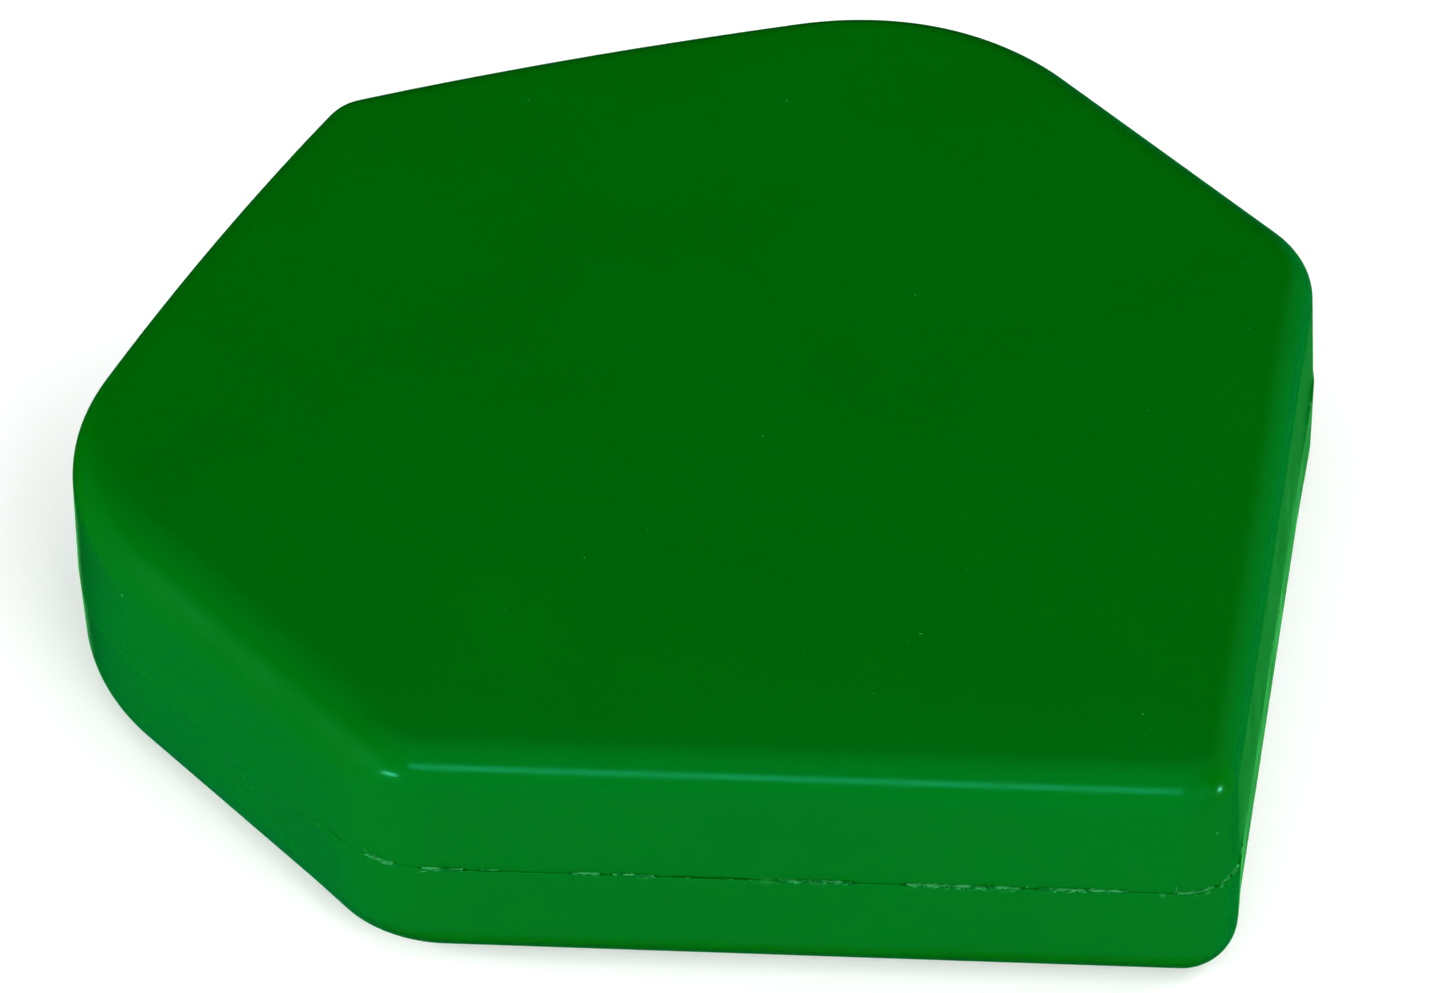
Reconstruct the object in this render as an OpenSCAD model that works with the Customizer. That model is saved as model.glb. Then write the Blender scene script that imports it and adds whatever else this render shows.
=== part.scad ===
// Marking crayon: a flat, palm-sized block of moulded wax.
// The plan is a six-sided "home plate": a nearly square point at one end, two parallel
// sides, and a blunt peak at the other end. The block is two wax halves that meet on a
// parting plane near mid-height, with a thin film of squeezed-out wax between them.
// Frame: the block rests on z = 0, centred on x = 0, y = 0, with the point towards -X.

/* [Plan] */
// Overall length from the point to the blunt peak, at the parting plane
block_l = 110; // [95:1:140]
// Overall width across the two parallel sides
block_w = 95.2; // [79:0.1:115]
// Angle between the two edges that meet at the point
point_angle = 93.7; // [86:0.1:104]
// Length of the straight part of each parallel side
side_l = 26.5; // [18:0.5:32]
// Radius at which the two long edges of the blunt end bow outwards
bow_r = 340; // [200:10:800]

/* [Corner radii] */
// Radius of the point
point_r = 4.4; // [4.3:0.1:8]
// Radius of the two shoulders, between a point edge and a side, on the upper half
shoulder_r = 10; // [6:0.5:14]
// Radius of the same two shoulders on the lower half
lower_shoulder_r = 11.5; // [6:0.5:14]
// Radius of the two broad corners, between a side and a blunt-end edge
broad_r = 23; // [16:0.5:27]
// Radius of the blunt peak
peak_r = 4.4; // [4.3:0.1:10]

/* [Upper half] */
// Height of the upper half, from the parting plane to the top face
upper_h = 11; // [8:0.1:16]
// Radius of the rounded edge around the top face
top_round = 3.2; // [1:0.1:3.6]
// Draft of the upper wall, in degrees from vertical
upper_draft = 1; // [0:0.1:3]

/* [Lower half] */
// Height of the lower half, from the resting face to the parting plane
lower_h = 10; // [8:0.1:16]
// Radius of the rounded edge around the resting face
base_round = 4; // [1:0.1:4]
// Draft of the lower wall, in degrees from vertical
lower_draft = 2; // [0:0.1:2.5]
// How far the lower half stands proud of the upper one at the parting plane
ledge = 0.15; // [0:0.01:0.3]

/* [Seam flash] */
// Thickness of the wax film in the parting plane
flash_t = 0.16; // [0.1:0.01:0.4]
// Furthest that the film's ragged edge stands out from the upper wall
flash_reach = 0.5; // [0.2:0.05:1]
// Spacing of the points along the film's ragged edge
flash_pitch = 1.2; // [0.8:0.1:4]

/* [Hidden] */

wax_green = "#00670a";
flash_green = "#2f9440";

parting_z = lower_h;
block_h = lower_h + upper_h;
half_w = block_w / 2;
half_angle = point_angle / 2;

// Steps along each arc of the outline, and along each rounded edge
arc_steps = 9;
round_steps = 7;
// Thickness of the slices that a half is stretched over
slice_t = 0.02;

// ---- Plan geometry ----
// A stretch is an arc of the outline: [centre, radius, start angle, end angle].
// The outline runs counter-clockwise; a straight edge joins two stretches whose angles agree
// but whose centres differ.

function polar(r, a) = [r * cos(a), r * sin(a)];
function direction(v) = atan2(v[1], v[0]);
function flipped(p) = [p[0], -p[1]];
function reversed(s) = [flipped(s[0]), s[1], -s[3], -s[2]];

// Outward normal of the edge from the point to the near shoulder, and its offset from the tip.
edge_normal = -90 - half_angle;
edge_offset = point_r * (cos(edge_normal) + 1);

// Centre of a circle of radius r that touches both a point edge and a parallel side
function shoulder_centre(r) =
    let (y = r - half_w)
    [(edge_offset - r - sin(edge_normal) * y) / cos(edge_normal), y];

// Depth of the blunt end, from the end of the straight sides to the peak. The broad corners
// have room for this radius at most: beyond it no peak is left between the bowed edges.
blunt_depth = block_l - shoulder_centre(shoulder_r)[0] - side_l;
least_peak = 0.2;
room = blunt_depth - least_peak;
widest_r = (2 * bow_r * room - pow(room, 2) - pow(half_w, 2)) / (2 * (bow_r - half_w));
corner_r = min(broad_r, widest_r);
// Centre of a broad corner, which ends the straight side
broad_centre = [shoulder_centre(shoulder_r)[0] + side_l, corner_r - half_w];
peak_centre = [block_l - peak_r, 0];

// Centre of the bowed edge: the circle that holds the broad corner and the peak inside it
bow_centre =
    let (
        a = bow_r - corner_r,
        b = bow_r - peak_r,
        gap = peak_centre - broad_centre,
        d = norm(gap),
        t = (a * a - b * b + d * d) / (2 * d),
        h = sqrt(a * a - t * t)
    )
    broad_centre + gap * (t / d) + [-gap[1], gap[0]] * (h / d);

bow_start = direction(broad_centre - bow_centre);
bow_end = direction(peak_centre - bow_centre);

// The half outline on the -Y side, from the point round to the peak
function near_side(shoulder) = [
    [shoulder_centre(shoulder), shoulder, edge_normal, -90],
    [broad_centre, corner_r, -90, bow_start],
    [bow_centre, bow_r, bow_start, bow_end]
];

// The whole outline, counter-clockwise from the point
function outline(shoulder) =
    let (near = near_side(shoulder))
    concat(
        [[[point_r, 0], point_r, -180 - (90 - half_angle), edge_normal]],
        near,
        [[peak_centre, peak_r, bow_end, -bow_end]],
        [for (k = [len(near) - 1:-1:0]) reversed(near[k])]
    );

// Points of one stretch, moved outwards by grow
function stretch_points(s, grow, steps) =
    [for (k = [0:steps]) s[0] + polar(s[1] + grow, s[2] + (s[3] - s[2]) * k / steps)];

// Points of the whole outline, moved outwards by grow
function outline_points(plan, grow, steps) =
    [for (s = plan) each stretch_points(s, grow, steps)];

// ---- Halves ----
// Both halves are convex, so each is stretched over slices of its outline: one at the
// parting plane, and a stack of them up the rounded edge.

module slice(plan, grow, z) {
    translate([0, 0, z]) linear_extrude(height = slice_t)
        polygon(outline_points(plan, grow, arc_steps));
}

module upper_body(plan) {
    round_z = block_h - top_round;
    draft_inset = (upper_h - top_round) * tan(upper_draft);
    hull() {
        slice(plan, 0, parting_z + flash_t / 2);
        for (k = [0:round_steps]) let (a = 90 * k / round_steps)
            slice(plan, -draft_inset - top_round * (1 - cos(a)),
                round_z + (top_round - slice_t) * sin(a));
    }
}

module lower_body(plan) {
    draft_inset = (lower_h - base_round) * tan(lower_draft);
    hull() {
        slice(plan, ledge, parting_z - flash_t / 2 - slice_t);
        for (k = [0:round_steps]) let (a = 90 * k / round_steps)
            slice(plan, ledge - draft_inset - base_round * (1 - cos(a)), base_round * (1 - sin(a)));
    }
}

module upper_half() {
    color(wax_green)
        translate([-block_l / 2, 0, 0]) upper_body(outline(shoulder_r));
}

module lower_half() {
    color(wax_green)
        translate([-block_l / 2, 0, 0]) lower_body(outline(lower_shoulder_r));
}

// ---- Seam flash ----

// Height of the ragged edge at point p: a few beats of different length, cut off below zero,
// the same on both sides of the block and dying away at the point and at the peak.
function ragged(p) =
    let (
        y = abs(p[1]),
        beat = 0.35 + 0.4 * sin(31 * p[0] + 17 * y) + 0.35 * sin(83 * y - 59 * p[0] + 40)
    )
    min(1, y / 8) * min(1, max(0, beat));

// Vector from the end of stretch s to the start of stretch t
function stretch_gap(s, t) = t[0] + polar(t[1], t[2]) - s[0] - polar(s[1], s[3]);

// Points along the straight edge between stretches s and t, without its ends
function edge_points(s, t) =
    let (
        first = s[0] + polar(s[1], s[3]),
        gap = stretch_gap(s, t),
        steps = floor(norm(gap) / flash_pitch)
    )
    [for (k = [1:1:steps - 1]) first + gap * k / steps + polar(flash_reach
        * ragged(first + gap * k / steps), s[3])];

// Points along one arc
function arc_points(s) =
    let (steps = max(4, ceil(s[1] * abs(s[3] - s[2]) * PI / 180 / flash_pitch)))
    [for (k = [0:steps]) let (a = s[2] + (s[3] - s[2]) * k / steps)
        s[0] + polar(s[1] + flash_reach * ragged(s[0] + polar(s[1], a)), a)];

function ragged_outline(plan) =
    [for (k = [0:len(plan) - 1]) each concat(
        arc_points(plan[k]),
        edge_points(plan[k], plan[(k + 1) % len(plan)])
    )];

module seam_flash() {
    color(flash_green)
        translate([-block_l / 2, 0, parting_z - flash_t / 2])
            linear_extrude(height = flash_t) polygon(ragged_outline(outline(shoulder_r)));
}

upper_half();
lower_half();
seam_flash();
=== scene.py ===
"""A palm-sized block crayon of glossy green wax, moulded in two halves, lying on a pale table."""
import math
import random

import bmesh
import bpy
import numpy as np
from mathutils import Matrix, Vector, noise


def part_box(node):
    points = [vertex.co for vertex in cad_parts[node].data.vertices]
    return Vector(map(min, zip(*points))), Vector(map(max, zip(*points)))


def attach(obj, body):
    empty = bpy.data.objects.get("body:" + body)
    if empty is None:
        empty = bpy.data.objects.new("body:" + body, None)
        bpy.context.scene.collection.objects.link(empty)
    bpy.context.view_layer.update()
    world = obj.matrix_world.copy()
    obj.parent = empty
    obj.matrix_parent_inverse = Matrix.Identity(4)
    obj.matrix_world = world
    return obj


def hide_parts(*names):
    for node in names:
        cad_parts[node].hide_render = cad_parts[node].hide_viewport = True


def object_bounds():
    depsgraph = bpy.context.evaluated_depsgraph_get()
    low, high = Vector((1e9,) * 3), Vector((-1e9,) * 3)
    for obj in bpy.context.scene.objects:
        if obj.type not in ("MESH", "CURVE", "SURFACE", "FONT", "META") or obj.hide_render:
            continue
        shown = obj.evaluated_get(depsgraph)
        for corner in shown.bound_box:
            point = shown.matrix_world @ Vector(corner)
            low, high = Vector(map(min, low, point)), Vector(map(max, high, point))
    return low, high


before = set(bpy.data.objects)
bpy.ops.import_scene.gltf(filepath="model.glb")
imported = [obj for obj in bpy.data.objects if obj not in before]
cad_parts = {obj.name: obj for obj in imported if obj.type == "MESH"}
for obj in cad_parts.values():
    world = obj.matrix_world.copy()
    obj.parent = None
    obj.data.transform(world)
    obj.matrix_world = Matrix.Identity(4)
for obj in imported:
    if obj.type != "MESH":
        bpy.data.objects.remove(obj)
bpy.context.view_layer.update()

# ---------------------------------------------------------------- sizes, all in metres
MM = 0.001

LOW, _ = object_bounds()
UPPER_LOW, UPPER_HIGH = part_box("upper_half")
LOWER_LOW, LOWER_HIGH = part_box("lower_half")
FILM_LOW, FILM_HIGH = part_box("seam_flash")

LENGTH = UPPER_HIGH.x - UPPER_LOW.x
HALF_WIDTH = (UPPER_HIGH.y - UPPER_LOW.y) / 2
TOP_Z = UPPER_HIGH.z
PARTING_Z = (FILM_LOW.z + FILM_HIGH.z) / 2
HAIR = 0.012 * MM             # keeps the ledge this much inside the CAD's box
LEDGE = (LOWER_HIGH.y - LOWER_LOW.y) / 2 - HALF_WIDTH - HAIR
FLASH_REACH = (FILM_HIGH.y - FILM_LOW.y) / 2 - HALF_WIDTH

# The outline, as the CAD has it
POINT_ANGLE = math.radians(93.7)
SIDE_LENGTH = 26.5 * MM
BOW_RADIUS = 340 * MM
POINT_RADIUS = 4.4 * MM
PEAK_RADIUS = 4.4 * MM
BROAD_RADIUS = 23 * MM
UPPER_SHOULDER = 10 * MM
LOWER_SHOULDER = 11.5 * MM

UPPER_DRAFT = math.radians(1.0)
LOWER_DRAFT = math.radians(2.0)
EDGE_ROUND = 2.9 * MM         # rounded edge around the top face
SIDE_ROUND = 4.6 * MM         # the same edge along one parallel side, where it is softer
BASE_ROUND = 4.0 * MM         # rounded edge around the resting face
SEAM_ROUND = 0.16 * MM        # rounded edge of the upper half at the parting plane
LIP_ROUND = 0.14 * MM         # the same on the lower half

CROWN_DROP = 0.20 * MM        # how far the top face sinks towards each edge
FRONT_DROP = 0.60 * MM        # the same along the front edge, from the point to the softer side
CROWN_FADE = 3.6 * MM         # distance over which that sinking fades inwards
CORNER_BLEND = 3.0            # how little two edges add up where they meet
SWELL_SIZE = 24 * MM          # breadth of the gentle waves in the top face
SWELL_HEIGHT = 0.035 * MM     # and their height
SWELL_SEED = 3.0

# ---------------------------------------------------------------- camera
CAMERA_AZIMUTH = math.radians(142.61)     # from +X towards +Y
CAMERA_ELEVATION = math.radians(40.15)
CAMERA_DISTANCE = 0.7999
CAMERA_ROLL = math.radians(-1.98)
CAMERA_LENS = 247.15
CAMERA_AIM = Vector((14.19 * MM, -6.98 * MM, LOW.z))
CLIP_START = 0.05


def linked(name, data):
    """A new object of that data, in the scene."""
    made = bpy.data.objects.new(name, data)
    bpy.context.scene.collection.objects.link(made)
    return made


def spherical(azimuth, elevation, distance):
    """The offset at that azimuth, from +X towards +Y, and elevation."""
    flat = math.cos(elevation) * distance
    return Vector((
        flat * math.cos(azimuth), flat * math.sin(azimuth), math.sin(elevation) * distance,
    ))


def aimed(location, target, roll=0.0):
    """The matrix of something at location that looks at target, its own +Y kept upwards."""
    turn = (target - location).to_track_quat("-Z", "Y").to_matrix().to_4x4()
    return Matrix.Translation(location) @ turn @ Matrix.Rotation(roll, 4, "Z")


def make_camera():
    data = bpy.data.cameras.new("camera")
    data.lens = CAMERA_LENS
    data.clip_start = CLIP_START
    camera = linked("camera", data)
    place = CAMERA_AIM + spherical(CAMERA_AZIMUTH, CAMERA_ELEVATION, CAMERA_DISTANCE)
    camera.matrix_world = aimed(place, CAMERA_AIM, CAMERA_ROLL)
    bpy.context.scene.camera = camera


# ---------------------------------------------------------------- outline
WIDEST_TURN = math.radians(2.5)     # between neighbouring points of an arc
LEAST_STRAIGHT = 1 * MM             # a shorter gap between two arcs is no edge


def polar(radius, angle):
    return np.array([radius * math.cos(angle), radius * math.sin(angle)])


def direction(v):
    return math.atan2(v[1], v[0])


def outline_arcs(shoulder):
    """The outline's arcs, counter-clockwise from the point: (centre, radius, start, end)."""
    half_angle = POINT_ANGLE / 2
    normal = -math.pi / 2 - half_angle
    offset = POINT_RADIUS * (math.cos(normal) + 1)

    def shoulder_centre(radius):
        y = radius - HALF_WIDTH
        return np.array([(offset - radius - math.sin(normal) * y) / math.cos(normal), y])

    point = np.array([POINT_RADIUS, 0.0])
    peak = np.array([LENGTH - PEAK_RADIUS, 0.0])
    broad = np.array([shoulder_centre(UPPER_SHOULDER)[0] + SIDE_LENGTH, BROAD_RADIUS - HALF_WIDTH])
    gap = peak - broad
    d = np.linalg.norm(gap)
    a, b = BOW_RADIUS - BROAD_RADIUS, BOW_RADIUS - PEAK_RADIUS
    t = (a * a - b * b + d * d) / (2 * d)
    h = math.sqrt(a * a - t * t)
    bow = broad + gap * (t / d) + np.array([-gap[1], gap[0]]) * (h / d)
    bow_start, bow_end = direction(broad - bow), direction(peak - bow)
    near = [
        (shoulder_centre(shoulder), shoulder, normal, -math.pi / 2),
        (broad, BROAD_RADIUS, -math.pi / 2, bow_start),
        (bow, BOW_RADIUS, bow_start, bow_end),
    ]
    far = [(c * np.array([1, -1]), r, -end, -start) for c, r, start, end in reversed(near)]
    tip = [(point, POINT_RADIUS, -1.5 * math.pi + half_angle, normal)]
    blunt = [(peak, PEAK_RADIUS, bow_end, -bow_end)]
    return tip + near + blunt + far


class Outline:
    """Evenly sampled points of the outline, with outward normals and the distance walked."""

    def __init__(self, shoulder, pitch):
        places, normals = [], []
        arcs = outline_arcs(shoulder)
        for k, (centre, radius, start, end) in enumerate(arcs):
            swept = abs(end - start)
            steps = max(int(radius * swept / pitch), int(swept / WIDEST_TURN), 2)
            for i in range(steps + 1):
                angle = start + (end - start) * i / steps
                places.append(centre + polar(radius, angle))
                normals.append(polar(1.0, angle))
            following = arcs[(k + 1) % len(arcs)]
            last = places[-1]
            first = following[0] + polar(following[1], following[2])
            run = np.linalg.norm(first - last)
            if run < pitch / 4:
                places.pop()
                normals.pop()
                continue
            count = int(run / pitch)
            for i in range(1, count):
                places.append(last + (first - last) * i / count)
                normals.append(polar(1.0, end))
        self.places = np.array(places) - np.array([LENGTH / 2, 0.0])
        self.normals = np.array(normals)
        hops = np.linalg.norm(np.roll(self.places, -1, 0) - self.places, axis=1)
        self.walked = np.concatenate([[0.0], np.cumsum(hops)[:-1]])
        self.total = hops.sum()

    def __len__(self):
        return len(self.places)


def smooth(x):
    x = np.clip(x, 0.0, 1.0)
    return x * x * (3 - 2 * x)


# ---------------------------------------------------------------- surface shape
def crown(points):
    """How far the top face has sunk at each point: a soft roll-off along its six long edges."""
    sunk = np.zeros(len(points))
    arcs = outline_arcs(UPPER_SHOULDER)
    shift = np.array([LENGTH / 2, 0.0])

    def add_edge(inside, drop):
        sunk[:] += (drop * np.exp(-np.maximum(inside, 0) / CROWN_FADE)) ** CORNER_BLEND

    for k, (centre, radius, _, end) in enumerate(arcs):
        following = arcs[(k + 1) % len(arcs)]
        if radius == BOW_RADIUS:
            add_edge(radius - np.linalg.norm(points + shift - centre, axis=1), CROWN_DROP)
        gap = following[0] + polar(following[1], following[2]) - centre - polar(radius, end)
        if np.linalg.norm(gap) > LEAST_STRAIGHT:
            drop = FRONT_DROP if k == len(arcs) - 1 else CROWN_DROP
            add_edge(radius - (points + shift - centre) @ polar(1.0, end), drop)
    return sunk ** (1 / CORNER_BLEND)


def swell(points, size, height, seed):
    """A gentle unevenness of the moulded faces: smooth noise of that size, up to height."""
    return np.array([
        height * noise.noise(Vector((p[0] / size, p[1] / size, seed))) for p in points
    ])


def side_share(outline):
    """1 beside the softer of the parallel sides and its broad corner, 0 along all other edges."""
    x, y = outline.places[:, 0], outline.places[:, 1]
    along = smooth((x + 14 * MM) / (9 * MM)) * smooth((LENGTH / 2 - 19 * MM - x) / (16 * MM))
    return along * smooth((y - 14 * MM) / (16 * MM))


def seam_share(outline):
    """How open the parting line is: 1 where it shows as a ledge, 0 where the halves fused flush."""
    x, y = outline.places[:, 0], outline.places[:, 1]
    softer_side = smooth((y - 26 * MM) / (14 * MM)) * smooth((x + 10 * MM) / (8 * MM))
    far_point_edge = smooth((-y - 3 * MM) / (3 * MM)) * (1 - smooth((x + 22 * MM) / (8 * MM)))
    return 1 - np.maximum(softer_side, far_point_edge)


def ring_mesh(name, rings, poles):
    """A closed mesh from rings of equal length, with a fan to a pole at each end."""
    count = len(rings[0])
    verts = [tuple(poles[0])]
    for ring in rings:
        verts += [tuple(p) for p in ring]
    verts.append(tuple(poles[1]))
    faces = [(0, 1 + (i + 1) % count, 1 + i) for i in range(count)]
    for r in range(len(rings) - 1):
        a, b = 1 + r * count, 1 + (r + 1) * count
        for i in range(count):
            j = (i + 1) % count
            faces.append((a + i, a + j, b + j, b + i))
    last, top = 1 + (len(rings) - 1) * count, len(verts) - 1
    faces += [(last + i, last + (i + 1) % count, top) for i in range(count)]
    mesh = bpy.data.meshes.new(name)
    mesh.from_pydata(verts, [], faces)
    mesh.shade_smooth()
    mesh.update()
    return linked(name, mesh)


def ring_at(outline, inset, z):
    flat = outline.places - outline.normals * np.broadcast_to(inset, len(outline))[:, None]
    return np.column_stack([flat, np.broadcast_to(z, len(outline))])


OUTLINE_PITCH = 0.36 * MM
FACE_CENTRE = np.array([4 * MM, 0.0])
FACE_STEPS = 26
FACE_CROWDING = 1.5           # above 1, a face's rings stand closer together at its edge
SEAM_STEPS, UPPER_STEPS, EDGE_STEPS = 5, 8, 22
BASE_STEPS, LOWER_STEPS, LIP_STEPS = 18, 6, 4
SEAM_FACE_INSETS = (1.2 * MM, 3 * MM)     # the rings of the hidden face at the parting plane
CLOSED_GROOVE, FILM_GROOVE = 0.08, 0.92   # shares of SEAM_ROUND, at the ledge and over the film
LIFT_FADE = 1 * MM            # down to this far below the top face, the wall sinks as far as it


def quarter(steps, first=0):
    """The angles of a quarter turn in that many steps, from that one on."""
    return [math.radians(90 * k / steps) for k in range(first, steps + 1)]


def face_rings(ring, z):
    """Rings that run from the last offset ring in to the centre of a flat face."""
    rings = []
    for k in range(1, FACE_STEPS):
        share = 1 - (k / FACE_STEPS) ** FACE_CROWDING
        flat = FACE_CENTRE + (ring[:, :2] - FACE_CENTRE) * share
        rings.append(np.column_stack([flat, np.full(len(flat), z)]))
    return rings


def top_height(flat):
    waves = swell(flat, SWELL_SIZE, SWELL_HEIGHT, SWELL_SEED)
    return TOP_Z - crown(flat) + waves - SWELL_HEIGHT


def make_upper():
    """The upper half: seam, drafted wall, rounded edge, and a top face that sinks to its edges."""
    outline = Outline(UPPER_SHOULDER, OUTLINE_PITCH)
    foot = PARTING_Z + (FILM_HIGH.z - PARTING_Z) * film_share(outline)
    rounding = EDGE_ROUND + (SIDE_ROUND - EDGE_ROUND) * side_share(outline)
    slope = math.tan(UPPER_DRAFT)
    rings = [ring_at(outline, inset, foot) for inset in reversed(SEAM_FACE_INSETS)]
    opening = CLOSED_GROOVE * seam_share(outline) + FILM_GROOVE * film_share(outline)
    groove = SEAM_ROUND * opening
    for a in quarter(SEAM_STEPS):
        inset = groove * (1 - math.sin(a))
        rings.append(ring_at(outline, inset, foot + SEAM_ROUND * (1 - math.cos(a))))
    wall_low = FILM_HIGH.z + SEAM_ROUND
    wall_high = TOP_Z - rounding
    for k in range(1, UPPER_STEPS + 1):
        z = wall_low + (wall_high - wall_low) * k / UPPER_STEPS
        rings.append(ring_at(outline, slope * (z - wall_low), z))
    wall_inset = slope * (wall_high - wall_low)
    for a in quarter(EDGE_STEPS, first=1):
        inset = wall_inset + rounding * (1 - math.cos(a))
        rings.append(ring_at(outline, inset, wall_high + rounding * math.sin(a)))
    rings += face_rings(rings[-1], TOP_Z)
    # The flat top becomes the crowned one, and the wall follows it less and less downwards
    for ring in rings:
        lift = smooth((ring[:, 2] - wall_low) / (TOP_Z - wall_low - LIFT_FADE))
        ring[:, 2] -= lift * (TOP_Z - top_height(ring[:, :2]))
    centre_z = top_height(np.array([FACE_CENTRE]))[0]
    poles = ((*FACE_CENTRE, FILM_HIGH.z), (*FACE_CENTRE, centre_z))
    return ring_mesh("upper_wax", rings, poles)


def make_lower():
    """The lower half: resting face, rounded edge, drafted wall, and the ledge at the seam."""
    outline = Outline(LOWER_SHOULDER, OUTLINE_PITCH)
    head = PARTING_Z - (PARTING_Z - FILM_LOW.z) * film_share(outline)
    slope = math.tan(LOWER_DRAFT)
    ledge = LEDGE * seam_share(outline)
    base_inset = slope * (PARTING_Z - BASE_ROUND) - ledge
    innermost = ring_at(outline, base_inset + BASE_ROUND, LOW.z)
    rings = list(reversed(face_rings(innermost, LOW.z)))
    for a in quarter(BASE_STEPS):
        inset = base_inset + BASE_ROUND * (1 - math.sin(a))
        rings.append(ring_at(outline, inset, LOW.z + BASE_ROUND * (1 - math.cos(a))))
    for k in range(1, LOWER_STEPS + 1):
        z = BASE_ROUND + (head - LIP_ROUND - BASE_ROUND) * k / LOWER_STEPS
        rings.append(ring_at(outline, slope * (PARTING_Z - z) - ledge, z))
    for a in quarter(LIP_STEPS, first=1):
        inset = np.maximum(ledge, LIP_ROUND) * (1 - math.cos(a)) - ledge
        rings.append(ring_at(outline, inset, head - LIP_ROUND * (1 - math.sin(a))))
    rings += [ring_at(outline, inset, head) for inset in SEAM_FACE_INSETS]
    poles = ((*FACE_CENTRE, LOW.z), (*FACE_CENTRE, FILM_LOW.z))
    return ring_mesh("lower_wax", rings, poles)


# ---------------------------------------------------------------- seam flash
FRONT_EDGE = 56.8 * MM        # the straight of the point's edge that faces the camera
# Stretches where flakes hang on the parting line: (from, to, how thickly), as shares of that
# straight, from its end at the point. Below 0 is the point's arc, above 1 the shoulder's.
FRONT_PATCHES = (
    (-0.108, -0.098, 0.35), (-0.08, -0.064, 0.5), (-0.05, 0.002, 0.9), (0.07, 0.185, 1.0),
    (0.21, 0.362, 1.0), (0.435, 0.532, 1.0), (0.57, 0.675, 0.15), (0.70, 0.755, 0.7),
    (0.77, 0.81, 0.3), (0.905, 0.935, 0.25), (0.955, 1.012, 0.45), (1.05, 1.095, 0.5),
)
PATCH_END = 0.008             # over which a patch fades, as a share of that straight
FRONT_START, FRONT_END = -0.13, 1.13      # the stretch that the patches describe
PATCHES_ELSEWHERE = 9 * MM    # size of the patches of flakes on the other edges


def flakiness(outline):
    """How thickly the parting line is beset with flakes at each point of the outline."""
    x = outline.places[:, 0]
    share = (outline.total - outline.walked) / FRONT_EDGE
    # Past three such straights, count the other way round from the point, below 0
    share = np.where(share > 3, share - outline.total / FRONT_EDGE, share)
    front = np.zeros(len(outline))
    for start, end, amount in FRONT_PATCHES:
        inside = smooth((share - start) / PATCH_END + 0.5) * smooth((end - share) / PATCH_END + 0.5)
        front = np.maximum(front, amount * inside)
    elsewhere = np.array([
        max(0.0, noise.noise(Vector((p[0] / PATCHES_ELSEWHERE, p[1] / PATCHES_ELSEWHERE, 7.0)))) * 2
        for p in outline.places
    ])
    elsewhere *= seam_share(outline) ** 2 * smooth((x + 14 * MM) / (8 * MM))
    is_front = (share > FRONT_START) & (share < FRONT_END)
    return np.clip(np.where(is_front, front, elsewhere), 0, 1)


def film_share(outline):
    """1 where the film of wax shows between the halves, 0 where they meet without it."""
    return seam_share(outline) * smooth(flakiness(outline) * 3)


FILM_PITCH = 0.13 * MM
FRAY_SIZE = 0.5 * MM          # grain of the film's ragged edge
FRAY_NOISE = (0.7, 2.2, 4)    # roughness, lacunarity and octaves of that grain
WANDER_SIZE = 2.4 * MM        # length of the film's slow rise and fall
NARROW_END = 8 * MM           # |y| within which, at the point and the peak, the film stays short
SPARE = 0.03 * MM             # by which the film stays inside the CAD's box
TUCKED = 0.4 * MM             # how deep the film's edge hides where it doesn't show
FILM_BASE = 1.0 * MM          # how deep the film's plain middle starts


def make_film():
    """The film of wax squeezed out of the parting plane: a thin sheet with a ragged edge."""
    outline = Outline(UPPER_SHOULDER, FILM_PITCH)
    share, thick = film_share(outline), flakiness(outline)
    half = (FILM_HIGH.z - FILM_LOW.z) / 2
    fray = np.array([
        noise.fractal(Vector((d / FRAY_SIZE, 0.0, 2.0)), *FRAY_NOISE) for d in outline.walked
    ])
    wander = np.array([noise.noise(Vector((d / WANDER_SIZE, 5.0, 0.0))) for d in outline.walked])
    reach = thick * (0.07 + 0.42 * np.clip(fray, -0.7, 1)) * MM
    is_narrow = np.abs(outline.places[:, 1]) < NARROW_END
    tip_limit = np.where(is_narrow, LEDGE - SPARE, FLASH_REACH - SPARE)
    hidden = TUCKED * (1 - share)
    reach = np.clip(reach, 0.02 * MM, tip_limit) * share - hidden
    lift = (wander * 0.04 + thick * fray * 0.06) * MM * share
    thickness = half * np.maximum(share, 0.15)
    tip = 0.25 * thickness
    root = hidden + 0.02 * MM
    rings = [
        ring_at(outline, FILM_BASE, PARTING_Z - thickness),
        ring_at(outline, root, PARTING_Z - thickness),
        ring_at(outline, -reach, PARTING_Z + lift - tip),
        ring_at(outline, -reach - 0.01 * MM, PARTING_Z + lift),
        ring_at(outline, -reach, PARTING_Z + lift + tip),
        ring_at(outline, root, PARTING_Z + thickness),
        ring_at(outline, FILM_BASE, PARTING_Z + thickness),
    ]
    poles = ((*FACE_CENTRE, PARTING_Z - half), (*FACE_CENTRE, PARTING_Z + half))
    return ring_mesh("seam_film", rings, poles)


def lump(bm, centre, turn, size, seed, roughness):
    """One crumb of wax: a ball drawn out to size, turned, and roughened."""
    made = bmesh.ops.create_icosphere(bm, subdivisions=2, radius=0.5)
    for vert in made["verts"]:
        grain = 1 + roughness * noise.noise(vert.co * 3.1 + Vector((seed, seed * 0.7, 0)))
        vert.co = centre + turn @ Vector(c * s * grain for c, s in zip(vert.co, size))


def finish_mesh(bm, name):
    """The lumps in bm as one piece of that name."""
    mesh = bpy.data.meshes.new(name)
    bm.to_mesh(mesh)
    bm.free()
    mesh.shade_smooth()
    return linked(name, mesh)


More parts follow.
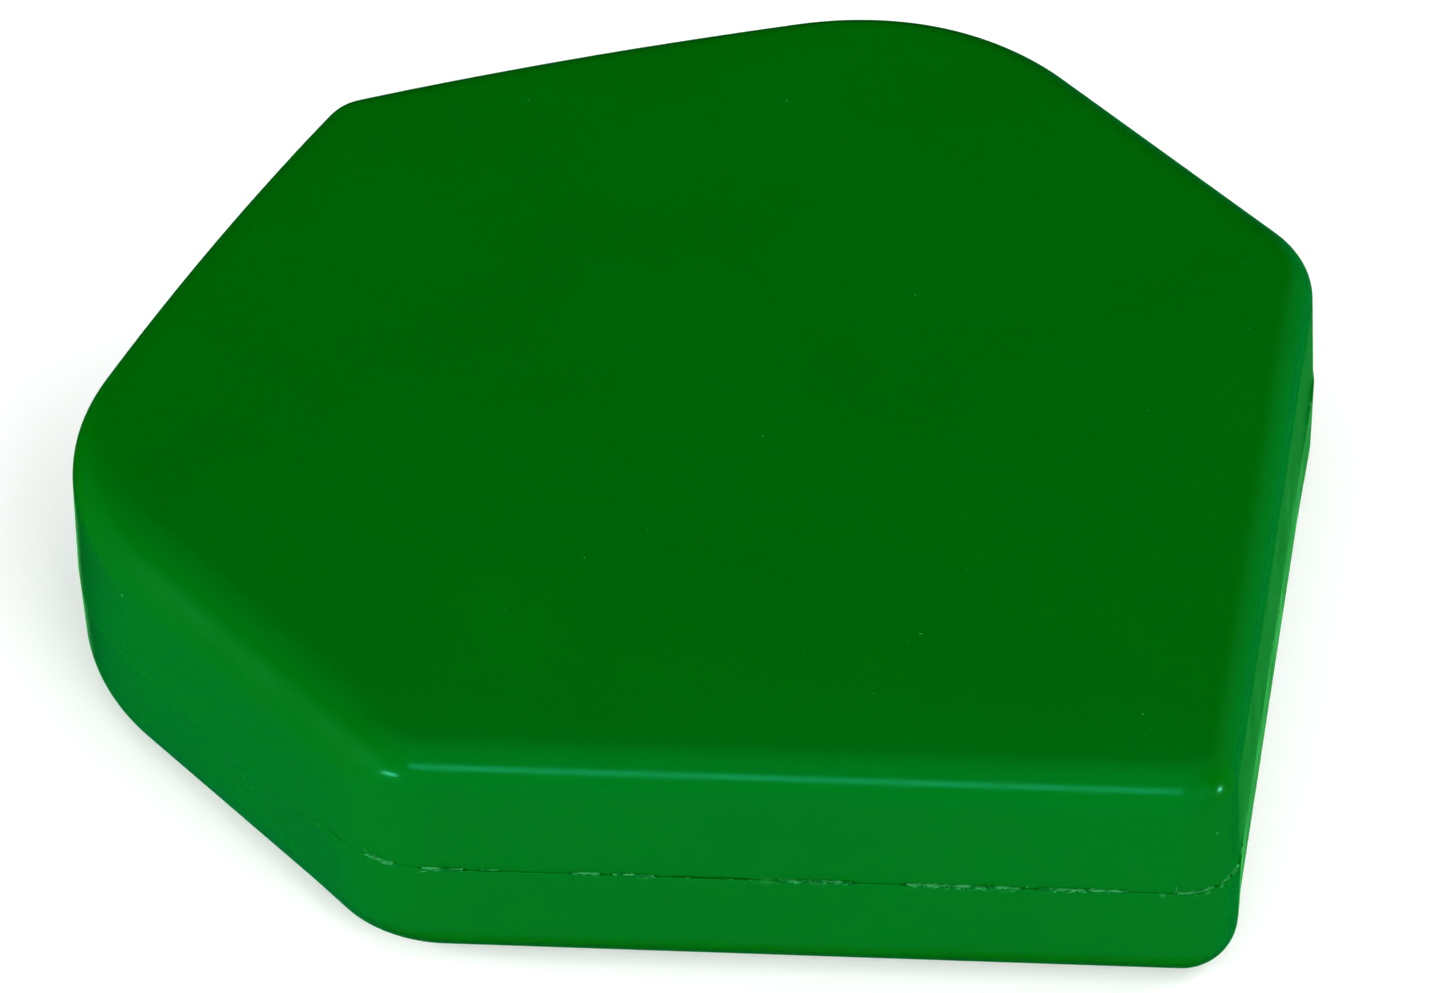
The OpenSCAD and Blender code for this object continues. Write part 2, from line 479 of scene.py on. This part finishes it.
# Splinters that stand up from the parting line: (place along the front edge, as a share; tilt in
# degrees from the line; length; height of the middle above the parting plane)
SPLINTERS = (
    (0.004, 84, 0.8 * MM, 0.4 * MM), (-0.072, 40, 0.6 * MM, 0.2 * MM),
    (0.200, 62, 0.4 * MM, 0.15 * MM), (0.282, 35, 0.5 * MM, 0.15 * MM),
    (0.347, 58, 0.4 * MM, 0.15 * MM), (0.522, 30, 0.6 * MM, 0.15 * MM),
    (1.068, -18, 1.3 * MM, 0.15 * MM), (0.733, 25, 0.4 * MM, 0.1 * MM),
    (0.115, 28, 0.6 * MM, 0.15 * MM), (1.09, -30, 0.8 * MM, 0.35 * MM),
    (0.49, 50, 0.4 * MM, 0.15 * MM), (0.25, -40, 0.5 * MM, 0.1 * MM),
)
SPLINTER_THICKNESS = 0.08 * MM
SPLINTER_OUT = 0.04 * MM      # how far a splinter stands out from the wall
FLAKE_PITCH = 0.2 * MM
FLAKE_CHANCE = 0.55           # of a flake at each step of the outline, where it is thickest
FLAKE_SIZES = ((0.15, 0.7), (0.06, 0.12), (0.04, 0.10))     # length, thickness, height, in mm
FLAKE_TILT = 0.4              # spread of the flakes' tilt, in radians
FLAKE_ROOM = 0.3 * MM         # how far out a flake may hang away from point and peak
FLAKE_ROUGHNESS = 0.9


def make_flakes():
    """Torn flakes of flash that cling along the parting line, and a few splinters."""
    rng = random.Random(11)
    outline = Outline(UPPER_SHOULDER, FLAKE_PITCH)
    thick = flakiness(outline)
    bm = bmesh.new()

    def flake(i, tilt, size, out, high):
        normal = Vector((*outline.normals[i], 0))
        along = Vector((-normal.y, normal.x, 0))
        drawn = along * math.cos(tilt) + Vector((0, 0, math.sin(tilt)))
        turn = Matrix((drawn, normal, drawn.cross(normal))).transposed()
        centre = Vector((*outline.places[i], high)) + normal * (out - size[1] / 2)
        lump(bm, centre, turn, size, i * 0.37, FLAKE_ROUGHNESS)

    for i in range(len(outline)):
        if rng.random() > FLAKE_CHANCE * thick[i]:
            continue
        size = [rng.uniform(*limits) * MM for limits in FLAKE_SIZES]
        room = LEDGE - 0.06 * MM if abs(outline.places[i][1]) < NARROW_END else FLAKE_ROOM
        tilt = rng.gauss(0, FLAKE_TILT)
        out = rng.uniform(0.02 * MM, room)
        flake(i, tilt, size, out, PARTING_Z + rng.gauss(0.03, 0.08) * MM)
    for share, tilt, length, rise in SPLINTERS:
        i = np.abs(outline.walked - (outline.total - share * FRONT_EDGE)).argmin()
        size = (length, SPLINTER_THICKNESS, SPLINTER_THICKNESS)
        flake(i, math.radians(tilt), size, SPLINTER_OUT, PARTING_Z + rise)
    return finish_mesh(bm, "seam_flakes")


TOP_SPECKS, WALL_SPECKS = 30, 12
SPECK_ROUGHNESS = 0.8


def make_specks():
    """Stray crumbs of wax and dust on the top face and on the walls."""
    rng = random.Random(5)
    bm = bmesh.new()
    outline = Outline(UPPER_SHOULDER, 1 * MM)
    for k in range(TOP_SPECKS):
        size = rng.uniform(0.06, 0.15) * MM
        share = math.sqrt(rng.random()) * 0.9
        spot = outline.places[rng.randrange(len(outline))] * share
        z = min(top_height(np.array([spot]))[0], TOP_Z - 0.4 * size)
        lump(bm, Vector((*spot, z)), Matrix.Rotation(rng.uniform(0, 6), 3, "Z"),
             (size * 1.5, size, size * 0.5), k, SPECK_ROUGHNESS)
    for k in range(WALL_SPECKS):
        size = rng.uniform(0.08, 0.2) * MM
        i = rng.randrange(len(outline))
        high = rng.uniform(FILM_HIGH.z + 0.4 * MM, TOP_Z - SIDE_ROUND)
        inset = math.tan(UPPER_DRAFT) * (high - FILM_HIGH.z)
        spot = outline.places[i] - outline.normals[i] * inset
        lump(bm, Vector((*spot, high)), Matrix.Rotation(direction(outline.normals[i]), 3, "Z"),
             (size * 0.4, size * 1.3, size), k + 80, SPECK_ROUGHNESS)
    return finish_mesh(bm, "wax_specks")


# ---------------------------------------------------------------- materials
def node(tree, kind, settings=None, **inputs):
    """A node of that kind, with its settings and unlinked inputs set."""
    made = tree.nodes.new(kind)
    for key, value in (settings or {}).items():
        setattr(made, key, value)
    for key, value in inputs.items():
        made.inputs[key.replace("_", " ")].default_value = value
    return made


def noise_at(tree, coords, scale, detail=3.0):
    made = node(tree, "ShaderNodeTexNoise", Scale=scale, Detail=detail)
    tree.links.new(coords, made.inputs["Vector"])
    return made.outputs["Fac"]


def remap(tree, value, low, high, to_low, to_high):
    made = tree.nodes.new("ShaderNodeMapRange")
    names = ("From Min", "From Max", "To Min", "To Max")
    for name, number in zip(names, (low, high, to_low, to_high)):
        made.inputs[name].default_value = number
    tree.links.new(value, made.inputs["Value"])
    return made.outputs["Result"]


def maths(tree, operation, a, b):
    made = node(tree, "ShaderNodeMath", {"operation": operation})
    for socket, value in zip(made.inputs, (a, b)):
        if isinstance(value, (int, float)):
            socket.default_value = value
        else:
            tree.links.new(value, socket)
    return made.outputs["Value"]


def mixed(tree, share, first, second):
    made = node(tree, "ShaderNodeMix", {"data_type": "RGBA"})
    tree.links.new(share, made.inputs["Factor"])
    for socket, value in ((made.inputs["A"], first), (made.inputs["B"], second)):
        if isinstance(value, tuple):
            socket.default_value = (*value, 1)
        else:
            tree.links.new(value, socket)
    return made.outputs["Result"]


WAX_DARK = (0.0, 0.0945, 0.0006)
WAX_LIGHT = (0.0, 0.1015, 0.0008)
WAX_PALE = (0.026, 0.25, 0.060)
WAX_TORN = (0.0, 0.12, 0.008)
SPECULAR_TINT = (0.06, 0.95, 0.60)

# How fine the noises are, in grains per metre
CLOUD_SCALE = 55              # cloudiness of the wax
SCUFFING_SCALE = 130          # stretches of the seam that are scuffed
DIMPLE_SCALE = 170            # shallow dimples
GLOSS_SCALE = 240             # unevenness of the gloss
GRAIN_SCALE = 900             # fine grain of the moulded faces
FLECK_SCALE = 1300            # pale flecks of torn wax
CHIP_SCALE = 1400             # pale chips at the seam
TEAR_SCALE = 4000             # roughness of torn wax
SCUFF_NEAR, SCUFF_FAR = 0.10 * MM, 0.45 * MM        # height over which the scuffs fade
FUSED_START, FUSED_END = 22 * MM, 34 * MM           # y over which they end, on the softer side


def wax_shader(mat):
    """The material's shader, with what all the wax has in common."""
    mat.use_nodes = True
    shader = mat.node_tree.nodes["Principled BSDF"]
    shader.inputs["IOR"].default_value = 1.44
    shader.inputs["Specular IOR Level"].default_value = 0.5
    shader.inputs["Specular Tint"].default_value = (*SPECULAR_TINT, 1)
    shader.inputs["Subsurface Weight"].default_value = 0.12
    shader.inputs["Subsurface Radius"].default_value = (0.2, 1.0, 0.35)
    shader.inputs["Subsurface Scale"].default_value = 0.0012
    return shader


def wax_material():
    """Smooth moulded wax: cloudy deep green, a fine grain in its gloss, and scuffs at the seam."""
    mat = bpy.data.materials.new("moulded_wax")
    shader = wax_shader(mat)
    tree = mat.node_tree
    coords = tree.nodes.new("ShaderNodeTexCoord").outputs["Object"]

    cloud = noise_at(tree, coords, CLOUD_SCALE, 4)
    colour = mixed(tree, remap(tree, cloud, 0.3, 0.7, 0, 1), WAX_DARK, WAX_LIGHT)

    # Scuffs and pale chips within a fraction of a millimetre of the parting plane
    height = node(tree, "ShaderNodeSeparateXYZ")
    tree.links.new(coords, height.inputs["Vector"])
    above = maths(tree, "ABSOLUTE", maths(tree, "SUBTRACT", height.outputs["Z"], FILM_LOW.z), 0.0)
    near = remap(tree, above, SCUFF_NEAR, SCUFF_FAR, 1, 0)
    chips = remap(tree, noise_at(tree, coords, CHIP_SCALE, 4), 0.52, 0.66, 0, 0.6)
    patches = remap(tree, noise_at(tree, coords, SCUFFING_SCALE, 2), 0.45, 0.62, 0, 1)
    # None where the halves fused flush, along the softer side
    place = remap(tree, height.outputs["Y"], FUSED_START, FUSED_END, 1, 0)
    where = maths(tree, "MULTIPLY", near, place)
    scuffed = maths(tree, "MULTIPLY", where, maths(tree, "MULTIPLY", chips, patches))
    colour = mixed(tree, scuffed, colour, WAX_PALE)
    tree.links.new(colour, shader.inputs["Base Color"])

    gloss = remap(tree, noise_at(tree, coords, GLOSS_SCALE, 3), 0.3, 0.7, 0.17, 0.25)
    rough = maths(tree, "ADD", gloss, maths(tree, "MULTIPLY", scuffed, 0.4))
    tree.links.new(rough, shader.inputs["Roughness"])

    fine = noise_at(tree, coords, GRAIN_SCALE, 3)
    dimples = maths(tree, "MULTIPLY", noise_at(tree, coords, DIMPLE_SCALE, 2), 2.5)
    grain = maths(tree, "ADD", fine, dimples)
    bump = node(tree, "ShaderNodeBump", Strength=0.35, Distance=0.00002)
    tree.links.new(grain, bump.inputs["Height"])
    tree.links.new(bump.outputs["Normal"], shader.inputs["Normal"])
    return mat


def flash_material():
    """Torn, squeezed-out wax: paler, duller and rough to the touch."""
    mat = bpy.data.materials.new("torn_wax")
    shader = wax_shader(mat)
    tree = mat.node_tree
    coords = tree.nodes.new("ShaderNodeTexCoord").outputs["Object"]
    flecks = remap(tree, noise_at(tree, coords, FLECK_SCALE, 4), 0.40, 0.60, 0, 1)
    tree.links.new(mixed(tree, flecks, WAX_TORN, WAX_PALE), shader.inputs["Base Color"])
    tree.links.new(remap(tree, flecks, 0, 1, 0.35, 0.6), shader.inputs["Roughness"])
    bump = node(tree, "ShaderNodeBump", Strength=0.6, Distance=0.00003)
    tree.links.new(noise_at(tree, coords, TEAR_SCALE, 2), bump.inputs["Height"])
    tree.links.new(bump.outputs["Normal"], shader.inputs["Normal"])
    return mat


FLOOR_REACH = 6.0
FLOOR_GREY = 0.93
FLOOR_GLOW = 0.16             # makes the floor come out nearly white


def make_floor():
    """A plain pale floor, which the gloss doesn't mirror."""
    data = bpy.data.meshes.new("floor")
    square = ((-1, -1), (1, -1), (1, 1), (-1, 1))
    data.from_pydata([(x * FLOOR_REACH, y * FLOOR_REACH, LOW.z) for x, y in square],
                     [], [(0, 1, 2, 3)])
    floor = linked("floor", data)
    mat = bpy.data.materials.new("pale_floor")
    mat.use_nodes = True
    shader = mat.node_tree.nodes["Principled BSDF"]
    shader.inputs["Base Color"].default_value = (FLOOR_GREY, FLOOR_GREY, FLOOR_GREY, 1)
    shader.inputs["Roughness"].default_value = 0.9
    shader.inputs["Emission Color"].default_value = (1, 1, 1, 1)
    shader.inputs["Emission Strength"].default_value = FLOOR_GLOW
    floor.data.materials.append(mat)
    floor.visible_glossy = False


def area_light(name, azimuth, elevation, distance, width, height, power, mirrored):
    """A rectangular lamp that faces the block, seen by its gloss only if mirrored."""
    data = bpy.data.lights.new(name, "AREA")
    data.shape = "RECTANGLE"
    data.size, data.size_y = width, height
    data.energy = power
    light = linked(name, data)
    light.visible_glossy = mirrored
    light.visible_camera = False
    middle = Vector((0, 0, TOP_Z / 2))
    light.matrix_world = aimed(middle + spherical(azimuth, elevation, distance), middle)


# What the gloss mirrors besides the lamps: soft bright patches of the studio.
# (degrees clockwise from the camera as seen from above, elevation, radius in degrees up to
# which the patch is at its full colour, radius at which it has faded, colour)
STUDIO_PATCHES = (
    (0, 90, 20, 52, (0.0, 0.26, 0.30)),        # the ceiling
    (10, 20, 30, 70, (0.0, 0.22, 0.31)),       # the front of the studio
    (12, -40, 30, 98, (0.0, 0.21, 0.30)),      # the table in front, darker towards the back
    (96, 25, 15, 45, (0.0, 0.02, 0.13)),       # the left of the studio
    (-135, -4, 18, 36, (0.0, 0.16, 0.09)),     # the far right of the studio
    (-95, -38, 12, 72, (0.0, 0.13, 0.05)),     # the table at the right
    (-160, -40, 10, 25, (0.0, 0.13, 0.0)),     # and further round
    (-182, -41, 12, 13, (0.13, 0.82, 0.22)),   # a card behind the block, close to the table
)
STUDIO_DIM = (0.0, 0.004, 0.002)           # shines from everywhere
# Right under the block the table is in its shade: by the ray's z, and by how much
SHADED_BELOW, CLEAR_ABOVE = -0.96, -0.78
SHADE = 0.08


def make_world():
    """The studio as the gloss sees it; the boxes do the lighting, so diffuse light ignores it."""
    world = bpy.data.worlds.new("world")
    bpy.context.scene.world = world
    world.use_nodes = True
    world.cycles_visibility.diffuse = False
    tree = world.node_tree
    ray = tree.nodes.new("ShaderNodeTexCoord").outputs["Generated"]
    total = None
    for turn, elevation, clear, fading, colour in STUDIO_PATCHES:
        towards = spherical(CAMERA_AZIMUTH - math.radians(turn), math.radians(elevation), 1)
        facing = node(tree, "ShaderNodeVectorMath", {"operation": "DOT_PRODUCT"})
        facing.inputs[1].default_value = towards
        tree.links.new(ray, facing.inputs[0])
        patch = remap(tree, facing.outputs["Value"], math.cos(math.radians(fading)),
                      math.cos(math.radians(clear)), 0, 1)
        scaled = node(tree, "ShaderNodeVectorMath", {"operation": "SCALE"})
        scaled.inputs[0].default_value = colour
        tree.links.new(patch, scaled.inputs["Scale"])
        added = node(tree, "ShaderNodeVectorMath", {"operation": "ADD"})
        added.inputs[1].default_value = STUDIO_DIM
        tree.links.new(scaled.outputs["Vector"], added.inputs[0])
        if total:
            tree.links.new(total, added.inputs[1])
        total = added.outputs["Vector"]
    height = node(tree, "ShaderNodeSeparateXYZ")
    tree.links.new(ray, height.inputs["Vector"])
    shaded = node(tree, "ShaderNodeVectorMath", {"operation": "SCALE"})
    tree.links.new(total, shaded.inputs[0])
    light = remap(tree, height.outputs["Z"], SHADED_BELOW, CLEAR_ABOVE, SHADE, 1)
    tree.links.new(light, shaded.inputs["Scale"])
    tree.links.new(shaded.outputs["Vector"], tree.nodes["Background"].inputs["Color"])


def make_lights():
    """Soft boxes and a ceiling that the gloss doesn't mirror, and small lamps that it does."""
    make_world()
    # Name, degrees clockwise from the camera, elevation, distance, width, height, power, mirrored
    for name, turn, elevation, distance, width, height, power, mirrored in (
        ("left_box", 80, 16, 1.2, 0.9, 0.60, 20.2, False),
        ("right_box", -30, 20, 1.2, 0.9, 0.66, 14.2, False),
        ("back_box", -115, 30, 1.2, 0.9, 0.66, 10.4, False),
        ("ceiling", 0, 86, 1.6, 1.4, 1.4, 8.5, False),
        ("strip_lamp", 14.0, 35, 1.6, 0.60, 0.36, 2.8, True),
        ("left_lamp", 43, 4, 1.6, 0.34, 0.05, 3.8, True),
        ("right_lamp", -72, 3, 1.6, 0.08, 0.08, 3.8, True),
    ):
        area_light(name, CAMERA_AZIMUTH - math.radians(turn), math.radians(elevation), distance,
                   width, height, power, mirrored)


make_camera()
make_floor()
make_lights()

wax, torn = wax_material(), flash_material()
PIECES = (
    (make_upper(), "upper_half", "wax", wax),
    (make_lower(), "lower_half", "wax", wax),
    (make_film(), "seam_flash", "flash", torn),
    (make_flakes(), None, "flash", torn),
    (make_specks(), None, "flash", torn),
)
for piece, node_name, slot, mat in PIECES:
    piece.data.materials.append(mat)
    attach(piece, "root")
    if node_name:
        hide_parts(node_name)

bpy.context.scene.view_settings.view_transform = "Standard"
